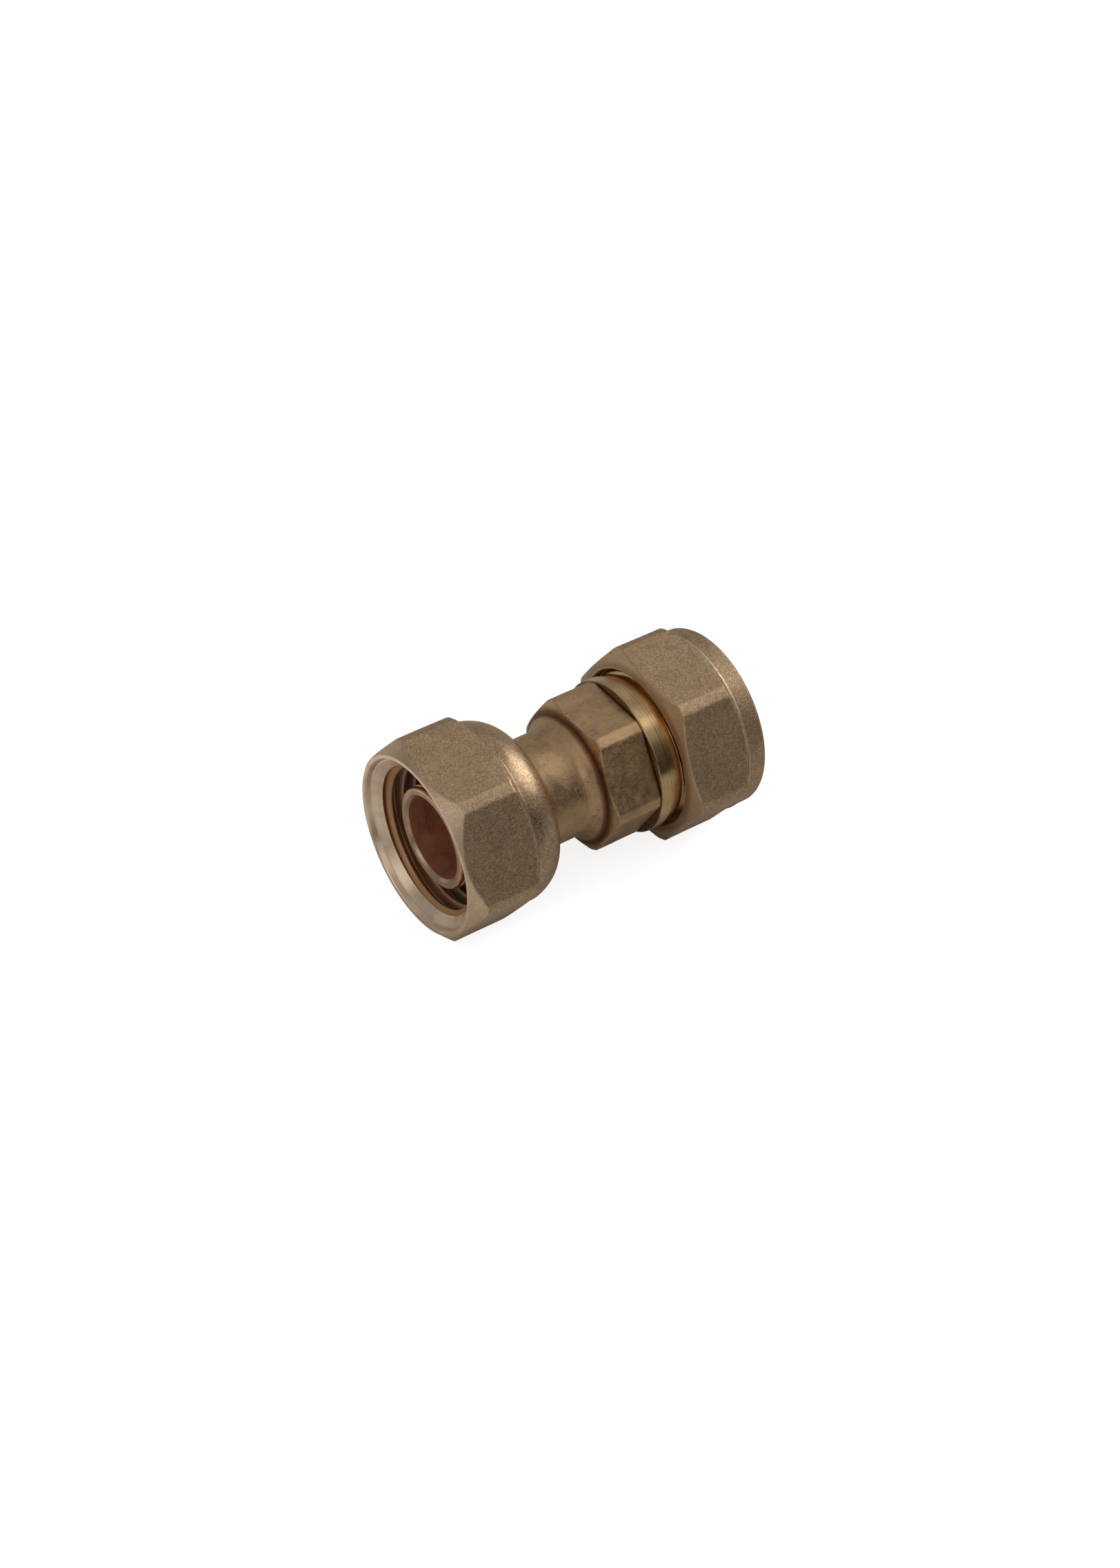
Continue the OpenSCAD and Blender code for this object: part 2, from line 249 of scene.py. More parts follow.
def lathe(name, outline, angles, surfaces, body, node, radius=plain_radius, uneven=None):
    """Sweep an outline round the x axis as one closed grid.

    surfaces: (material, "tags it covers") in slot order; radius(x, r, theta, tag): the
    surface's radius; uneven: grain's (size, amount, seed) by tag.
    """
    stations = outline_stations(outline)
    rows, columns = len(stations), len(angles)
    xs = np.array([place[0] for place, _ in stations])
    rs = np.array([place[1] for place, _ in stations])
    tags = [tag for _, tag in stations]
    radii = np.empty((rows, columns))
    for tag in sorted(set(tags)):
        own = [i for i, t in enumerate(tags) if t == tag]
        radii[own] = radius(xs[own][:, None], rs[own][:, None], angles[None, :], tag)
    around = np.repeat(xs[:, None], columns, 1)
    co = np.stack([around, radii * np.cos(angles), radii * np.sin(angles)], -1)
    for tag, (size, amount, seed) in (uneven or {}).items():
        own = [i for i, t in enumerate(tags) if t == tag]
        lift = grain(co[own].reshape(-1, 3), size, amount, seed).reshape(len(own), columns)
        co[own, :, 1] += lift * np.cos(angles)
        co[own, :, 2] += lift * np.sin(angles)

    a = np.arange(rows * columns).reshape(rows, columns)
    b = np.roll(a, -1, 1)
    quads = np.stack([a, b, np.roll(b, -1, 0), np.roll(a, -1, 0)], -1).reshape(-1, 4)
    co = co.reshape(-1, 3)
    v = co[quads]
    volume = sum(
        np.einsum("ij,ij->i", v[:, 0], np.cross(v[:, i], v[:, i + 1])).sum() for i in (1, 2)
    )
    if volume < 0:
        quads = quads[:, ::-1]

    mesh = bpy.data.meshes.new(name)
    mesh.vertices.add(len(co))
    mesh.vertices.foreach_set("co", (co * MM).astype(np.float32).ravel())
    mesh.loops.add(quads.size)
    mesh.loops.foreach_set("vertex_index", quads.astype(np.int32).ravel())
    mesh.polygons.add(len(quads))
    mesh.polygons.foreach_set("loop_start", np.arange(0, quads.size, 4, dtype=np.int32))
    mesh.polygons.foreach_set("loop_total", np.full(len(quads), 4, np.int32))
    mesh.update(calc_edges=True)
    slot_of = {}
    for i, (material, covered) in enumerate(surfaces):
        mesh.materials.append(material)
        slot_of.update({tag: i for tag in covered.split()})
    slots = np.array([slot_of[tag] for tag in tags], np.int32)
    mesh.polygons.foreach_set("material_index", np.repeat(slots, columns))
    mesh.validate()
    add_piece(mesh, body, node)


# ------------------------------------------------------------------ shader graphs
class Graph:
    """Short calls that add shader nodes; an input may be a number, a tuple or a socket."""

    def __init__(self, tree, output, coords="Object"):
        self.tree = tree
        tree.nodes.clear()
        self.output = self.node(output)
        self.place = self.node("TexCoord").outputs[coords]

    def node(self, kind, *values, **named):
        """A new node, its inputs set by position or by name (_ for a space)."""
        node = self.tree.nodes.new("ShaderNode" + kind)
        for socket, value in zip(node.inputs, values):
            self.set(socket, value)
        for name, value in named.items():
            self.set(node.inputs[name.replace("_", " ")], value)
        return node

    def set(self, socket, value):
        if isinstance(value, bpy.types.NodeSocket):
            self.tree.links.new(value, socket)
        elif isinstance(value, tuple) and len(value) == 3 and socket.type == "RGBA":
            socket.default_value = (*value, 1)
        elif value is not None:
            socket.default_value = value

    def make(self, kind, *values, **named):
        """The first output of a new node."""
        return self.node(kind, *values, **named).outputs[0]

    def finish(self, shader):
        self.set(self.output.inputs[0], shader)

    def math(self, operation, a, b=0.0):
        node = self.node("Math", a, b, 0.0)
        node.operation = operation
        return node.outputs[0]

    def add(self, a, b):
        return self.math("ADD", a, b)

    def sub(self, a, b):
        return self.math("SUBTRACT", a, b)

    def mul(self, a, b):
        return self.math("MULTIPLY", a, b)

    def weighted(self, first, *rest):
        """Sum of (socket, weight) pairs."""
        term = self.mul(*first)
        return self.add(term, self.weighted(*rest)) if rest else term

    def shifted(self, amount):
        """The texture place moved by a vector."""
        return self.make("VectorMath", self.place, amount)

    def noise(self, vector, scale, detail=2.0, rough=0.5, distort=0.0):
        return self.node("TexNoise", Vector=vector, Scale=scale, Detail=detail,
                         Roughness=rough, Distortion=distort).outputs["Fac"]

    def remap(self, value, over, to=(0.0, 1.0), smooth=True):
        node = self.node("MapRange", value, *over, *to)
        node.interpolation_type = "SMOOTHSTEP" if smooth else "LINEAR"
        return node.outputs[0]

    def mix(self, factor, a, b):
        node = self.node("Mix")
        node.data_type = "RGBA"
        node.clamp_factor = True
        for i, value in ((0, factor), (6, a), (7, b)):
            self.set(node.inputs[i], value)
        return node.outputs[2]

    def xyz(self, vector=None):
        return self.node("SeparateXYZ", vector or self.place).outputs

    def x_and_radius(self):
        """Place along the axis and distance from it, in metres."""
        x, y, z = self.xyz()
        return x, self.math("SQRT", self.add(self.mul(y, y), self.mul(z, z)))

    def distance(self, x, centre):
        """Distance in metres of x from a centre in mm."""
        return self.math("ABSOLUTE", self.sub(x, centre * MM))

    def band(self, x, centre, half, strength):
        """A soft band along x; centre and half width in mm."""
        over = (0.3 * half * MM, half * MM)
        return self.remap(self.distance(x, centre), over=over, to=(strength, 0.0))

    def bumps(self, *layers):
        """A normal from (height, distance in metres) layers, one on another."""
        normal = None
        for height, distance in layers:
            normal = self.make("Bump", Strength=1.0, Distance=distance, Height=height,
                               Normal=normal)
        return normal


class Surface(Graph):
    """The graph of a new material."""

    def __init__(self, name):
        self.material = bpy.data.materials.new(name)
        self.material.use_nodes = True
        super().__init__(self.material.node_tree, "OutputMaterial")

    def principled(self, color, rough, normal, metallic=1.0):
        self.finish(self.make("BsdfPrincipled", Base_Color=color, Roughness=rough,
                              Metallic=metallic, Normal=normal))
        return self.material


def darker(color):
    return tuple(c * 0.4 for c in color)


# ------------------------------------------------------------------ materials
def blasted(name, rough, cone, shift=0.0, depth=1.0, rubbed_lit_edge_x=None, gloss_span=None, stain_x=None):
    """Forged brass with a fine blasted grain: smoother facets with painted glints, pits, slow
    changes of tone.

    cone: (x, radius, slope, colour) of a chamfer cut bare by the tool; rubbed_lit_edge_x: an
    edge rubbed bright and given a painted highlight; gloss_span: x range over which it grows
    smoother; stain_x: darkest here, fading towards +x. depth scales the bumps.
    """
    light, dark = (0.69, 0.485, 0.30), (0.42, 0.29, 0.175)
    g = Surface(name)
    p = g.shifted((shift, shift * 0.7, shift * 0.3))
    slow = g.noise(p, scale=240, detail=3, rough=0.55)
    mid = g.noise(p, scale=1500, detail=3, rough=0.6)
    fine = g.noise(p, scale=4400, detail=3, rough=0.65)
    facet = g.xyz(g.node("TexVoronoi", Vector=p, Scale=6400).outputs["Color"])
    pits = g.remap(g.noise(p, scale=3400), over=(0.60, 0.72))
    tone = g.weighted((slow, 0.2), (mid, 0.25), (fine, 0.33), (facet[0], 0.22))
    color = g.mix(g.remap(tone, over=(0.34, 0.66)), dark, light)
    color = g.mix(g.mul(pits, 0.10), color, darker(dark))
    glint_facets = g.remap(facet[1], over=(0.84, 0.98))
    # painted glints: a pale colour on a few facets stands in for their sparkle; the same facets
    # are also made smoother
    color = g.mix(g.mul(glint_facets, 0.36), color, (0.95, 0.82, 0.62))
    roughness = g.add(g.remap(fine, over=(0.3, 0.7), to=(-0.10, 0.12), smooth=False), rough)
    roughness = g.sub(roughness, g.mul(glint_facets, 0.11))
    x, radius = g.x_and_radius()

    cone_x, cone_r, slope, cone_color = cone
    cone_surface = g.add(g.mul(g.sub(x, cone_x * MM), slope), cone_r * MM)
    gap = g.sub(radius, cone_surface)
    bare = g.mul(g.remap(gap, over=(-0.22 * MM, -0.06 * MM)), 0.6)
    bare = g.mul(bare, g.remap(slow, over=(0.25, 0.5), to=(0.7, 1.0)))
    color = g.mix(bare, color, cone_color)
    roughness = g.sub(roughness, g.mul(bare, 0.08))
    if rubbed_lit_edge_x is not None:
        # an edge rubbed bright, partly a painted highlight
        rubbed_edge_highlight = g.mul(g.band(x, rubbed_lit_edge_x, half=0.42, strength=0.75),
                     g.remap(mid, over=(0.35, 0.6), to=(0.45, 1.0)))
        # painted highlight: strongest on the upper side, where the light falls
        rubbed_edge_highlight = g.mul(rubbed_edge_highlight, g.remap(g.xyz()[2], over=(5 * MM, 11.5 * MM), to=(0.4, 1.0)))
        color = g.mix(rubbed_edge_highlight, color, (0.95, 0.84, 0.66))
        roughness = g.sub(roughness, g.mul(rubbed_edge_highlight, 0.16))
    if stain_x is not None:
        stain = g.remap(g.sub(x, stain_x * MM), over=(0.0, 0.42 * MM), to=(0.75, 0.0))
        stain = g.mul(stain, g.remap(slow, over=(0.3, 0.6), to=(0.5, 1.0)))
        color = g.mix(stain, color, (0.26, 0.13, 0.06))
    if gloss_span:
        over = tuple(end * MM for end in gloss_span)
        roughness = g.sub(roughness, g.remap(x, over=over, to=(0.0, 0.10)))
    normal = g.bumps((mid, 0.000030 * depth), (fine, 0.000017 * depth),
                     (facet[2], 0.000007 * depth))
    return g.principled(color, roughness, normal)


def turned(name, light, dark, rough, line, depth=1.0, shift=0.0, painted_root_shade=None,
           painted_inner_shade=None, groove_shade_lines=(), metallic=1.0):
    """Machined brass: fine concentric tool lines, faint stains.

    line: noise scale of the lines; depth scales the bumps; painted_root_shade and
    painted_inner_shade: (from, to, colour) of painted shade along radius and x;
    groove_shade_lines: (x, half width, strength) of dark lines of painted shade.
    """
    g = Surface(name)
    x, radius = g.x_and_radius()
    line_place = g.make("CombineXYZ", g.add(x, shift), g.mul(radius, 1.0), 0.0)
    lines = g.noise(line_place, scale=line, detail=3, rough=0.6)
    broad = g.noise(g.make("CombineXYZ", x, radius, 0.1 + shift), scale=line * 0.16)
    stain = g.noise(g.place, scale=420, detail=3, rough=0.6)
    fine = g.noise(g.place, scale=6000, rough=0.6)
    tone = g.weighted((stain, 0.6), (broad, 0.4))
    color = g.mix(g.remap(tone, over=(0.36, 0.62)), dark, light)
    # painted shade: darker towards the roots of a thread
    if painted_root_shade:
        start, end, tint = painted_root_shade
        color = g.mix(g.remap(radius, over=(start * MM, end * MM)), color, tint)
    # painted shade: darker further along x, deeper inside
    if painted_inner_shade:
        start, end, tint = painted_inner_shade
        tinted = g.mix(0.72, color, tint)
        color = g.mix(g.remap(x, over=(start * MM, end * MM)), color, tinted)
    # each dark line paints shade into a groove or crease
    for groove_line in groove_shade_lines:
        color = g.mix(g.band(x, *groove_line), color, (0.13, 0.06, 0.03))
    sheen = g.weighted((lines, 0.6), (stain, 0.4))
    sheen = g.remap(sheen, over=(0.35, 0.65), to=(-0.07, 0.1), smooth=False)
    normal = g.bumps((lines, 0.000004 * depth), (broad, 0.000006 * depth),
                     (fine, 0.000003 * depth))
    return g.principled(color, g.add(sheen, rough), normal, metallic)


def drawn_body():
    """The body's skin: golden brass with brown stains, a faint grain along x, dark rings of
    painted shade.
    """
    light, dark, stain = (0.68, 0.46, 0.255), (0.50, 0.33, 0.185), (0.37, 0.24, 0.145)
    # painted shade: dark rings where the neck leaves the swivel nut, in the valley before the
    # hexagon and in the crease at its end
    # x, half width, strength
    shade_rings = ((-5.1, 0.60, 0.95), (-12.6, 0.5, 0.8), (BODY_HEX_END, 0.34, 0.95))
    g = Surface("brass_drawn_body")
    p = g.shifted((0.0, 0.0, 0.0))
    x, y, z = g.xyz(p)
    along = g.make("CombineXYZ", g.mul(x, 0.3), y, z)
    slow = g.noise(p, scale=230, detail=4, rough=0.6, distort=0.4)
    mid = g.noise(p, scale=900, detail=3, rough=0.6)
    fine = g.noise(p, scale=3600, detail=3, rough=0.65)
    streak = g.noise(along, scale=1700, rough=0.6)
    specks = g.remap(g.noise(p, scale=1100), over=(0.66, 0.76))
    tone = g.weighted((slow, 0.45), (mid, 0.3), (fine, 0.25))
    color = g.mix(g.remap(tone, over=(0.38, 0.62)), dark, light)
    patches = g.remap(g.noise(p, scale=420, detail=4, rough=0.65), over=(0.50, 0.72))
    color = g.mix(g.mul(patches, 0.62), color, stain)
    color = g.mix(g.mul(specks, 0.6), color, darker(stain))
    x = g.xyz()[0]
    for shade_x, half, strength in shade_rings:
        off = g.distance(x, shade_x)
        # the half width wanders with the slow noise
        edge = g.mul(g.add(g.mul(slow, 0.8), 0.6), half * MM)
        shade_mask = g.remap(g.math("DIVIDE", off, edge), over=(0.25, 1.0), to=(strength, 0.0))
        color = g.mix(shade_mask, color, (0.17, 0.075, 0.035))
    sheen = g.weighted((mid, 0.5), (fine, 0.5))
    sheen = g.remap(sheen, over=(0.35, 0.65), to=(-0.1, 0.12), smooth=False)
    normal = g.bumps((mid, 0.000035), (streak, 0.000008), (fine, 0.000018))
    return g.principled(color, g.add(sheen, 0.45), normal)


def fibre():
    """Vulcanised fibre: matt red-brown with short dark hairs."""
    g = Surface("fibre_washer")
    x, y, z = g.xyz(g.place)
    squeezed = g.make("CombineXYZ", g.mul(x, 3.0), y, z)
    hair = g.noise(squeezed, scale=1900, detail=4, rough=0.7, distort=1.5)
    slow = g.noise(g.place, scale=300)
    fine = g.noise(g.place, scale=5200, detail=3, rough=0.7)
    hair_mask = g.remap(hair, over=(0.38, 0.62))
    color = g.mix(hair_mask, (0.085, 0.020, 0.012), (0.25, 0.075, 0.04))
    color = g.mix(g.mul(g.remap(slow, over=(0.5, 0.7)), 0.4), color, (0.30, 0.13, 0.08))
    roughness = g.remap(fine, over=(0.3, 0.7), to=(0.72, 0.9), smooth=False)
    normal = g.bumps((hair, 0.00003), (fine, 0.00001))
    return g.principled(color, roughness, normal, metallic=0.0)


COMP_THREAD = turned("brass_compression_thread", (0.80, 0.56, 0.34), (0.62, 0.42, 0.24),
                     rough=0.32, line=7000, depth=0.8, shift=0.27)
SWIVEL_SKIN = blasted("brass_blasted_nut", rough=0.47, depth=0.72,
                      cone=(SWIVEL_START, 12.05, 1.0, (0.66, 0.50, 0.345)),
                      gloss_span=(SWIVEL_HEX_END - 0.9, SWIVEL_HEX_END + 0.3))
COMP_SKIN = blasted("brass_blasted_compression", rough=0.50, shift=0.37,
                    cone=(COMP_START, 11.02, 2.28, (0.60, 0.42, 0.25)),
                    # the edge behind the hexagon: rubbed bright, with a painted highlight mostly
                    # on the upper side
                    rubbed_lit_edge_x=COMP_HEX_END + 0.13, stain_x=COMP_START + 0.05)
FACE = turned("brass_turned_face", (0.90, 0.72, 0.55), (0.74, 0.57, 0.41),
              rough=0.34, line=9000)
TAP_THREAD = turned("brass_cut_thread", (0.56, 0.335, 0.18), (0.44, 0.255, 0.13),
                    rough=0.40, line=7000, depth=0.8, shift=0.21, metallic=0.78,
                    # painted shade: the thread's flanks and roots darker than its crests
                    painted_root_shade=(9.42, 9.80, (0.46, 0.24, 0.11)),
                    # painted shade: darker and browner deeper inside the nut
                    painted_inner_shade=(SWIVEL_START + 2.6, SWIVEL_START + 5.5, (0.36, 0.26, 0.20)))
MOUTH_BAND = turned("brass_mouth_band", (0.64, 0.32, 0.11), (0.45, 0.21, 0.07),
                    rough=0.34, line=7000, depth=0.8, shift=0.25, metallic=0.88)
MALE_THREAD = turned("brass_male_thread", (0.76, 0.58, 0.33), (0.58, 0.41, 0.22),
                     rough=0.26, line=7000, depth=0.8, shift=0.33)
BODY_SKIN = drawn_body()
COLLAR = turned("brass_bright_collar", (0.82, 0.595, 0.33), (0.66, 0.44, 0.22),
                rough=0.20, line=8000, depth=0.7, shift=0.5,
                # painted shade: dark lines in the groove, at the step and in the crease behind
                # the hexagon
                groove_shade_lines=((3.84, 0.10, 0.75), (4.31, 0.09, 0.65), (2.24, 0.10, 0.8)))
COLLAR_STEP = turned("brass_step_behind_collar", (0.80, 0.54, 0.28), (0.62, 0.38, 0.17),
                     rough=0.20, line=8000, depth=0.7, shift=0.6)
TAIL = turned("brass_tail", (0.78, 0.44, 0.24), (0.56, 0.28, 0.14),
              rough=0.30, line=6500, depth=1.2, shift=0.7)
BORE = turned("brass_bore", (0.84, 0.52, 0.34), (0.68, 0.385, 0.24),
              rough=0.31, line=4200, depth=0.6, shift=0.9, metallic=0.85)
NOSE_LIP = turned("brass_nose_lip", (0.54, 0.39, 0.27), (0.41, 0.285, 0.19),
                  rough=0.30, line=9000, depth=0.8, shift=1.1)
RING = turned("brass_spring_ring", (0.80, 0.62, 0.34), (0.62, 0.44, 0.22),
              rough=0.2, line=7000, depth=0.7, shift=1.3)
OLIVE = turned("brass_olive", (0.88, 0.68, 0.34), (0.72, 0.52, 0.24),
               rough=0.2, line=7000, depth=0.8, shift=1.5)
FIBRE = fibre()

HEX_ANGLES = hex_angles()
ROUND_ANGLES = np.linspace(0, TAU, 288, endpoint=False)


# ------------------------------------------------------------------ swivel nut
def swivel_radius(x, r, theta, tag):
    end = SWIVEL_HEX_END
    if tag in ("hex", "dome"):
        if tag == "hex":
            soft = 0.16 + 0.64 * ramp(x, end - 5, end - 2)
        else:
            soft = 0.02 + 0.78 * (1 - ramp(x, end, end + 2))
        return smooth_min(r, hexagon(theta, SWIVEL_FLATS, corner=13.71, soft=0.16), soft)
    if tag in ("thread", "mouth"):
        fade = 1 - ramp(x, end - 1.7, end - 0.7)
        thread = TAP_CREST_R + whitworth(x, theta, SWIVEL_START) * fade
        return smooth_max(r, thread, 0.12) if tag == "mouth" else thread
    return r


def swivel_nut():
    start, hex_end, end = SWIVEL_START, SWIVEL_HEX_END, SWIVEL_END
    flange = end - 2.0  # inner face of the end wall
    dome_length, dome_base_r, dome_tip_r, hole_r, cavity_r = 5.1, 12.16, 8.25, 7.7, 9.6
    dome = []
    for angle in np.radians(np.linspace(0, 86, 18)[1:]):
        x = hex_end + dome_length * math.sin(angle)
        r = dome_tip_r + (dome_base_r - dome_tip_r) * math.cos(angle)
        dome.append((x, r, 0, 0.3, "dome"))
    # x, r, fillet, step, tag
    outline = [
        (start, 12.05, 0.10, 0.12, "hex"),
        (start + 3.05, 15.1, 0.0, 0.14, "hex"),
        (hex_end - 1.79, 15.1, 0.0, 0.14, "hex"),
        (hex_end, dome_base_r, 0.0, 0.12, "dome"),
        *dome,
        (end, dome_tip_r + 0.02, 0.12, 0.2, "dome"),
        (end, hole_r, 0.12, 0.3, "bore"),
        (flange, hole_r, 0.1, 0.3, "cavity"),
        (flange, 8.9, 0, 0.3, "cavity"),
        (flange - 0.5, 9.2, 0, 0.3, "cavity"),
        (flange - 1.6, cavity_r, 0, 0.5, "cavity"),
        (hex_end - 0.3, cavity_r, 0, 0.2, "cavity"),
        (hex_end - 0.6, TAP_CREST_R, 0, 0.06, "thread"),
        (start + 2.15, TAP_CREST_R, 0, 0.05, "mouth"),
        (start + 1.75, 9.95, 0, 0.07, "band"),
        (start + 1.70, 10.02, 0.03, 0.12, "sink"),
        (start + 0.76, 11.12, 0.03, 0.06, "sink"),
        (start + 0.74, 11.24, 0.03, 0.06, "step"),
        (start + 0.60, 11.30, 0.04, 0.06, "step"),
        (start + 0.16, 11.48, 0.06, 0.06, "step"),
        (start, 11.62, 0.08, 0.06, "rim"),
    ]
    surfaces = [
        (SWIVEL_SKIN, "hex dome"),
        (FACE, "bore sink step rim"),
        (TAP_THREAD, "cavity thread mouth"),
        (MOUTH_BAND, "band"),
    ]
    lathe("swivel_nut_forging", outline, HEX_ANGLES, surfaces,
          "tap_nut", "swivel_nut", radius=swivel_radius,
          uneven={"hex": (3.2, 0.03, 1), "dome": (2.6, 0.03, 2)})


# ------------------------------------------------------------------ body
def body_radius(x, r, theta, tag):
    if tag == "hex":
        return smooth_min(r, hexagon(theta, BODY_FLATS, 10.28, 0.10, BODY_TURN), 0.14)
    if tag == "male":
        fade = ramp(x, MALE_START - 0.05, MALE_START + 0.7)
        fade = fade * (1 - ramp(x, SOCKET_END - 1.0, SOCKET_END - 0.35))
        ridge = THREAD_DEPTH - whitworth(x, theta, PIPE_THREAD_X + PITCH / 2)
        return r + (ridge * 0.86) * fade
    return r


def body():
    washer_seat = WASHER_START - 0.1
    bore_r, neck_r, groove_r, male_root_r = 5.5, 7.25, 6.75, 9.3
    socket_chamfer = 1.9
    # x, r, fillet, step, tag
    outline = [
        (NOSE, 6.42, 0.03, 0.1, "edge"),
        (NOSE + 0.08, 6.66, 0.12, 0.1, "edge"),
        (NOSE + 0.34, SPIGOT_R - 0.05, 0.1, 0.15, "edge"),
        (NOSE + 0.60, SPIGOT_R - 0.05, 0.03, 0.15, "edge"),
        (NOSE + 0.68, SPIGOT_R - 0.22, 0.03, 0.1, "edge"),
        (NOSE + 0.78, SPIGOT_R - 0.22, 0.03, 0.1, "edge"),
        (NOSE + 0.90, SPIGOT_R, 0.04, 0.4, "tail"),
        (washer_seat, SPIGOT_R, 0.03, 0.3, "tail"),
        (washer_seat, SPIGOT_R - 0.25, 0.02, 0.8, "tail"),
        (-19.0, SPIGOT_R - 0.25, 0.02, 0.6, "tail"),
        (-19.0, 7.6, 0.05, 0.6, "tail"),
        (-17.8, 7.6, 0.05, 0.5, "tail"),
        (-17.8, groove_r, 0.04, 0.6, "tail"),
        (-16.5, groove_r, 0.04, 0.3, "tail"),
        (-16.5, neck_r, 0.06, 1.2, "neck"),
        (SHOULDER - 0.75, neck_r, 0.0, 0.15, "neck"),
        (SHOULDER - 0.35, 7.31, 0.0, 0.1, "neck"),
        (SHOULDER + 0.02, 7.47, 0.0, 0.1, "shoulder"),
        (SHOULDER + 0.35, 7.72, 0.0, 0.2, "shoulder"),
        (SHOULDER + 1.30, 8.69, 0.10, 0.07, "shoulder"),
        (SHOULDER + 1.42, 8.63, 0.04, 0.05, "hex"),
        (SHOULDER + 1.50, 8.85, 0.05, 0.12, "hex"),
        (SHOULDER + 2.55, 10.95, 0.0, 0.5, "hex"),
        (BODY_HEX_END - 0.35, 10.92, 0.0, 0.07, "hex"),
        (BODY_HEX_END - 0.04, 10.3, 0.0, 0.09, "hex"),
        (BODY_HEX_END, 9.1, 0.0, 0.2, "collar"),
        (BODY_HEX_END, 10.25, 0.05, 0.1, "collar"),
        (BODY_HEX_END + 0.13, 10.4, 0.06, 0.4, "collar"),
        (COLLAR_END - 0.16, 10.4, 0.03, 0.05, "collar"),
        (COLLAR_END - 0.10, 10.26, 0.02, 0.05, "collar"),
        (COLLAR_END - 0.02, 10.26, 0.02, 0.05, "collar"),
        (COLLAR_END, 10.20, 0.03, 0.1, "collar"),
        (COLLAR_END + 0.38, 10.20, 0.02, 0.05, "collar"),
        (COLLAR_END + 0.42, 10.14, 0.02, 0.25, "step"),
        (MALE_START - 0.15, 10.12, 0.06, 0.1, "step"),
        (MALE_START, 9.97, 0.04, 0.2, "step"),
        (MALE_START, male_root_r, 0.03, 0.097, "male"),
        (SOCKET_END - 0.35, male_root_r, 0.05, 0.1, "male"),
        (SOCKET_END, 9.0, 0.05, 0.1, "socket"),
        (SOCKET_END, SOCKET_R + 0.51 * socket_chamfer, 0.04, 0.3, "socket"),
        (SOCKET_END - socket_chamfer, SOCKET_R, 0.1, 2.2, "socket"),
        (0.0, SOCKET_R, 0.08, 0.8, "socket"),
        (0.0, bore_r, 0.08, 4.5, "bore"),
        (NOSE + 0.35, bore_r, 0.05, 0.12, "lip"),
        (NOSE + 0.02, 5.86, 0.08, 0.12, "lip"),
    ]
    surfaces = [
        (BODY_SKIN, "neck shoulder hex"),
        (TAIL, "edge tail"),
        (COLLAR, "collar"),
        (MALE_THREAD, "male"),
        (BORE, "bore"),
        (NOSE_LIP, "lip"),
        (FACE, "socket"),
        (COLLAR_STEP, "step"),
    ]
    lathe("tail_and_body", outline, hex_angles(BODY_TURN), surfaces,
          "fitting_body", "body", radius=body_radius,
          uneven={"hex": (2.4, 0.03, 3), "shoulder": (2.4, 0.03, 3), "neck": (3.0, 0.02, 4)})


# ------------------------------------------------------------------ compression nut
def comp_radius(x, r, theta, tag):
    if tag == "hex":
        return smooth_min(r, hexagon(theta, COMP_FLATS, corner=13.43, soft=0.16), 0.16)
    if tag == "thread":
        fade = ramp(x, COMP_START + 1.35, COMP_START + 1.95)
        fade = fade * (1 - ramp(x, COMP_END - 6.2, COMP_END - 5.2))
        return COMP_CREST_R + whitworth(x, theta, PIPE_THREAD_X) * fade
    return r


def compression_nut():
    start, hex_end, end = COMP_START, COMP_HEX_END, COMP_END
    hole_r, relief_r, mouth_r = 7.65, 8.85, 10.7
    # x, r, fillet, step, tag
    outline = [
        (start, 11.02, 0.06, 0.1, "hex"),
        (start + 1.62, 14.7, 0.0, 0.2, "hex"),
        (hex_end - 1.9, 15.0, 0.0, 0.14, "hex"),
        (hex_end, 11.95, 0.05, 0.06, "collar"),
        (hex_end + 0.08, 12.18, 0.05, 0.06, "collar"),
        (hex_end + 0.22, 12.18, 0.05, 0.06, "collar"),
        (hex_end + 0.36, 12.1, 0.06, 0.3, "collar"),
        (end - 0.40, 12.1, 0.25, 0.1, "collar"),
        (end, 11.85, 0.12, 0.2, "rear"),
        (end, hole_r + 0.5, 0.08, 0.1, "rear"),
        (end - 0.45, hole_r, 0.08, 0.2, "inside"),
        (end - 1.2, hole_r, 0.05, 0.2, "inside"),
        (end - 3.7, relief_r, 0.05, 0.3, "inside"),
        (end - 4.6, relief_r, 0.05, 0.3, "inside"),
        (end - 4.9, COMP_CREST_R, 0.03, 0.06, "thread"),
        (start + 2.05, COMP_CREST_R, 0.03, 0.08, "mouth"),
        (start + 1.25, mouth_r, 0.05, 0.1, "mouth"),
        (start + 0.25, mouth_r, 0.05, 0.08, "mouth"),
        (start + 0.02, 10.88, 0.04, 0.08, "mouth"),
    ]
    surfaces = [(COMP_SKIN, "hex collar rear"), (FACE, "inside"), (COMP_THREAD, "thread mouth")]
    lathe("compression_nut_forging", outline, HEX_ANGLES, surfaces,
          "pipe_nut", "compression_nut", radius=comp_radius,
          uneven={"hex": (3.2, 0.03, 5), "collar": (3.0, 0.02, 6), "rear": (3.0, 0.02, 6)})


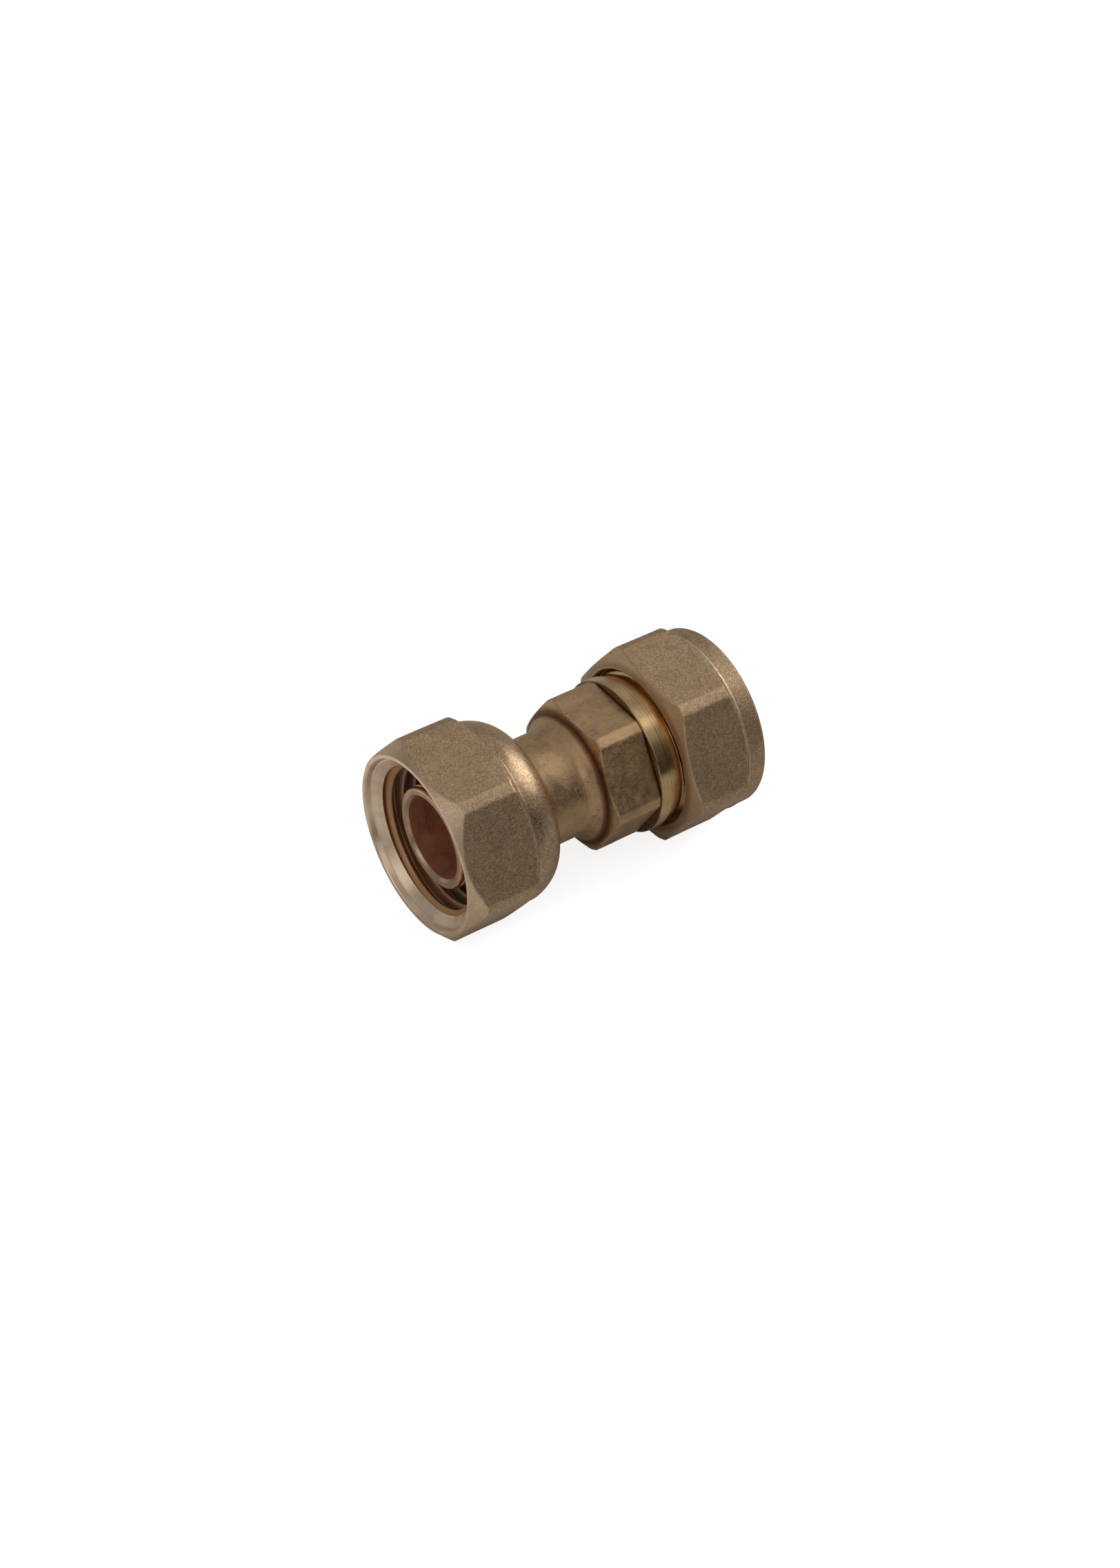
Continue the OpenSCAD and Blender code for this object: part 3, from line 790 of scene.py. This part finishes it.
# ------------------------------------------------------------------ olive, washer, ring
def olive():
    bore_r = 7.56
    # x, r, fillet, step, tag
    outline = [
        (OLIVE_START, bore_r + 0.25, 0.06, 0.1, "o"),
        (OLIVE_START + 1.1, OLIVE_R - 0.08, 0.25, 0.15, "o"),
        (OLIVE_START + 1.45, OLIVE_R, 0.5, 0.2, "o"),
        (OLIVE_END - 1.6, OLIVE_R, 0.5, 0.15, "o"),
        (OLIVE_END - 1.25, OLIVE_R - 0.08, 0.25, 0.15, "o"),
        (OLIVE_END, bore_r + 0.25, 0.06, 0.08, "o"),
        (OLIVE_END, bore_r, 0.06, 0.4, "o"),
        (OLIVE_START, bore_r, 0.06, 0.08, "o"),
    ]
    lathe("olive_barrel", outline, ROUND_ANGLES, [(OLIVE, "o")],
          "olive_ring", "olive")


def washer():
    bore_r = 6.95
    # x, r, fillet, step, tag
    outline = [
        (WASHER_START, bore_r, 0.05, 0.25, "w"),
        (WASHER_START, WASHER_R, 0.10, 0.25, "w"),
        (WASHER_END, WASHER_R, 0.10, 0.25, "w"),
        (WASHER_END, bore_r, 0.05, 0.25, "w"),
    ]
    lathe("fibre_washer_disc", outline, ROUND_ANGLES, [(FIBRE, "w")],
          "washer", "fibre_washer", uneven={"w": (0.7, 0.012, 9)})


def split_ring():
    """A bar with rounded edges and ends swept round the axis, its gap facing down."""
    inner_r, rounding, segments = 6.9, 0.14, 150
    half_gap = math.radians(32 / 2)
    sweep = TAU - 2 * half_gap
    first_angle = math.radians(-90) + half_gap
    left, right = RING_START + rounding, RING_END - rounding
    top, bottom = RING_R - rounding, inner_r + rounding
    section = []
    # x and r of each edge's centre, start angle of its arc in degrees
    edges = ((left, top, 90), (right, top, 0), (right, bottom, -90), (left, bottom, -180))
    for centre_x, centre_r, start in edges:
        for j in range(5):
            a = math.radians(start + 90 - 22.5 * j)
            section.append((centre_x + rounding * math.cos(a), centre_r + rounding * math.sin(a)))
    section = np.array(section)
    centre = section.mean(0)

    # distance from the bar's end, scale of its section there
    ends = [(0.0, 0.80), (0.02, 0.90), (0.06, 0.97), (rounding, 1.0)]
    mean_r = (inner_r + RING_R) / 2
    inset = rounding / mean_r
    turns = [(distance / mean_r, scale) for distance, scale in ends]
    for i in range(1, segments):
        turns.append((inset + (sweep - 2 * inset) * i / segments, 1.0))
    turns += [(sweep - distance / mean_r, scale) for distance, scale in reversed(ends)]
    vertices = []
    for turn, scale in turns:
        a = first_angle + turn
        for x, r in centre + (section - centre) * scale:
            vertices.append((x * MM, r * math.cos(a) * MM, r * math.sin(a) * MM))
    count = len(section)
    last = (len(turns) - 1) * count
    faces = []
    for row in range(0, last, count):
        for j in range(count):
            k = (j + 1) % count
            faces.append((row + j, row + k, row + count + k, row + count + j))
    faces.append(tuple(reversed(range(count))))
    faces.append(tuple(last + j for j in range(count)))

    mesh = bpy.data.meshes.new("retaining_ring_bar")
    mesh.from_pydata(vertices, [], faces)
    bm = bmesh.new()
    bm.from_mesh(mesh)
    bmesh.ops.recalc_face_normals(bm, faces=bm.faces)
    bm.to_mesh(mesh)
    bm.free()
    mesh.materials.append(RING)
    add_piece(mesh, "ring", "retaining_ring")


# ------------------------------------------------------------------ floor, light, camera
def floor_material():
    """Pale floor; camera rays see it lifted by a glow, other rays see what lights the piece."""
    g = Surface("pale_floor")
    camera_ray = g.node("LightPath").outputs["Is Camera Ray"]
    paper = g.noise(g.place, scale=900, detail=3, rough=0.6)
    seen = g.mix(paper, (0.86, 0.86, 0.86), (0.90, 0.90, 0.895))
    # painted shadow: rays other than the camera's see the floor darker towards the pipe end
    shade_towards_pipe = g.remap(g.xyz()[0], over=(-0.06, 0.02))
    bounce = g.mix(shade_towards_pipe, (0.95, 0.94, 0.92), (0.66, 0.655, 0.64))
    diffuse = g.make("BsdfDiffuse", g.mix(camera_ray, bounce, seen))
    glow = g.make("Emission", Color=(1, 1, 1), Strength=0.80)
    # a faint light from the floor beyond the tap end
    card_level = g.remap(g.xyz()[0], over=(-0.028, -0.045), to=(0.0, 0.14))
    card = g.make("Emission", Strength=card_level)
    lighting = g.make("AddShader", diffuse, card)
    visible = g.make("AddShader", diffuse, glow)
    g.finish(g.make("MixShader", camera_ray, lighting, visible))
    return g.material


def studio_floor():
    """A disc just under the piece."""
    sides, radius = 48, 0.9
    z = cad_lo[2] - 0.00003
    angles = [TAU * i / sides for i in range(sides)]
    rim = [(radius * math.cos(a), radius * math.sin(a), z) for a in angles]
    faces = [(0, 1 + i, 1 + (i + 1) % sides) for i in range(sides)]
    mesh = bpy.data.meshes.new("studio_floor")
    mesh.from_pydata([(0, 0, z), *rim], [], faces)
    floor = bpy.data.objects.new("studio_floor", mesh)
    bpy.context.scene.collection.objects.link(floor)
    mesh.materials.append(floor_material())


def studio_world():
    """Soft patches of light on a dim sky; the camera itself sees plain white."""
    # direction, angle of full effect, angle where it ends (degrees), level
    lights = (
        ((0.84, 0.05, 0.53), 8, 22, 2.9),
        ((0.44, 0.87, 0.22), 15, 42, 0.12),
        ((0.44, -0.05, 0.90), 7, 17, 0.16),
        ((-0.55, -0.50, 0.67), 10, 28, 0.55),
        ((-0.91, 0.02, 0.38), 6, 24, 0.8),
        ((-0.50, 0.75, 0.45), 15, 50, 0.1),
    )
    shades = (
        ((0.44, -0.84, 0.30), 14, 33, 0.70),
        ((-0.92, -0.38, 0.06), 8, 24, 0.55),
    )
    world = bpy.data.worlds.new("studio")
    bpy.context.scene.world = world
    world.use_nodes = True
    g = Graph(world.node_tree, "OutputWorld", coords="Generated")

    def patch(direction, inner, outer, level):
        node = g.node("VectorMath", g.place, Vector(direction).normalized())
        node.operation = "DOT_PRODUCT"
        over = (math.cos(math.radians(outer)), math.cos(math.radians(inner)))
        return g.remap(node.outputs["Value"], over=over, to=(0.0, level))

    total = g.remap(g.xyz()[2], over=(0.0, 0.9), to=(0.10, 0.34))
    for light in lights:
        total = g.add(total, patch(*light))
    for shade in shades:
        total = g.mul(total, g.sub(1.0, patch(*shade)))
    lit = g.make("Background", Color=(1, 0.985, 0.96), Strength=total)
    white = g.make("Background", Color=(1, 1, 1), Strength=1.0)
    camera_ray = g.node("LightPath").outputs["Is Camera Ray"]
    g.finish(g.make("MixShader", camera_ray, lit, white))


def key_light():
    """A small disc light aimed at the origin."""
    place = Vector((0.30, -0.10, 0.46))
    light = bpy.data.lights.new("key_softbox", "AREA")
    light.shape = "DISK"
    light.size = 0.16
    light.energy = 0.04
    key = bpy.data.objects.new("key_softbox", light)
    bpy.context.scene.collection.objects.link(key)
    key.location = place
    key.rotation_euler = (-place).to_track_quat("-Z", "Y").to_euler()


def studio_camera():
    place = (-0.162755324, -0.189790148, 0.252810026)
    rotation = Matrix((
        (0.817210663, 0.367980505, -0.443573084),
        (-0.571094196, 0.620619138, -0.537292570),
        (0.077576754, 0.692403231, 0.717328107),
    ))
    data = bpy.data.cameras.new("camera")
    camera = bpy.data.objects.new("camera", data)
    bpy.context.scene.collection.objects.link(camera)
    bpy.context.scene.camera = camera
    data.sensor_width = 36
    data.lens = 64.11095
    data.clip_start = 0.01
    data.clip_end = 20
    camera.matrix_world = Matrix.Translation(place) @ rotation.to_4x4()


swivel_nut()
body()
compression_nut()
olive()
washer()
split_ring()
studio_floor()
studio_world()
key_light()
studio_camera()
bpy.context.scene.view_settings.view_transform = "Standard"
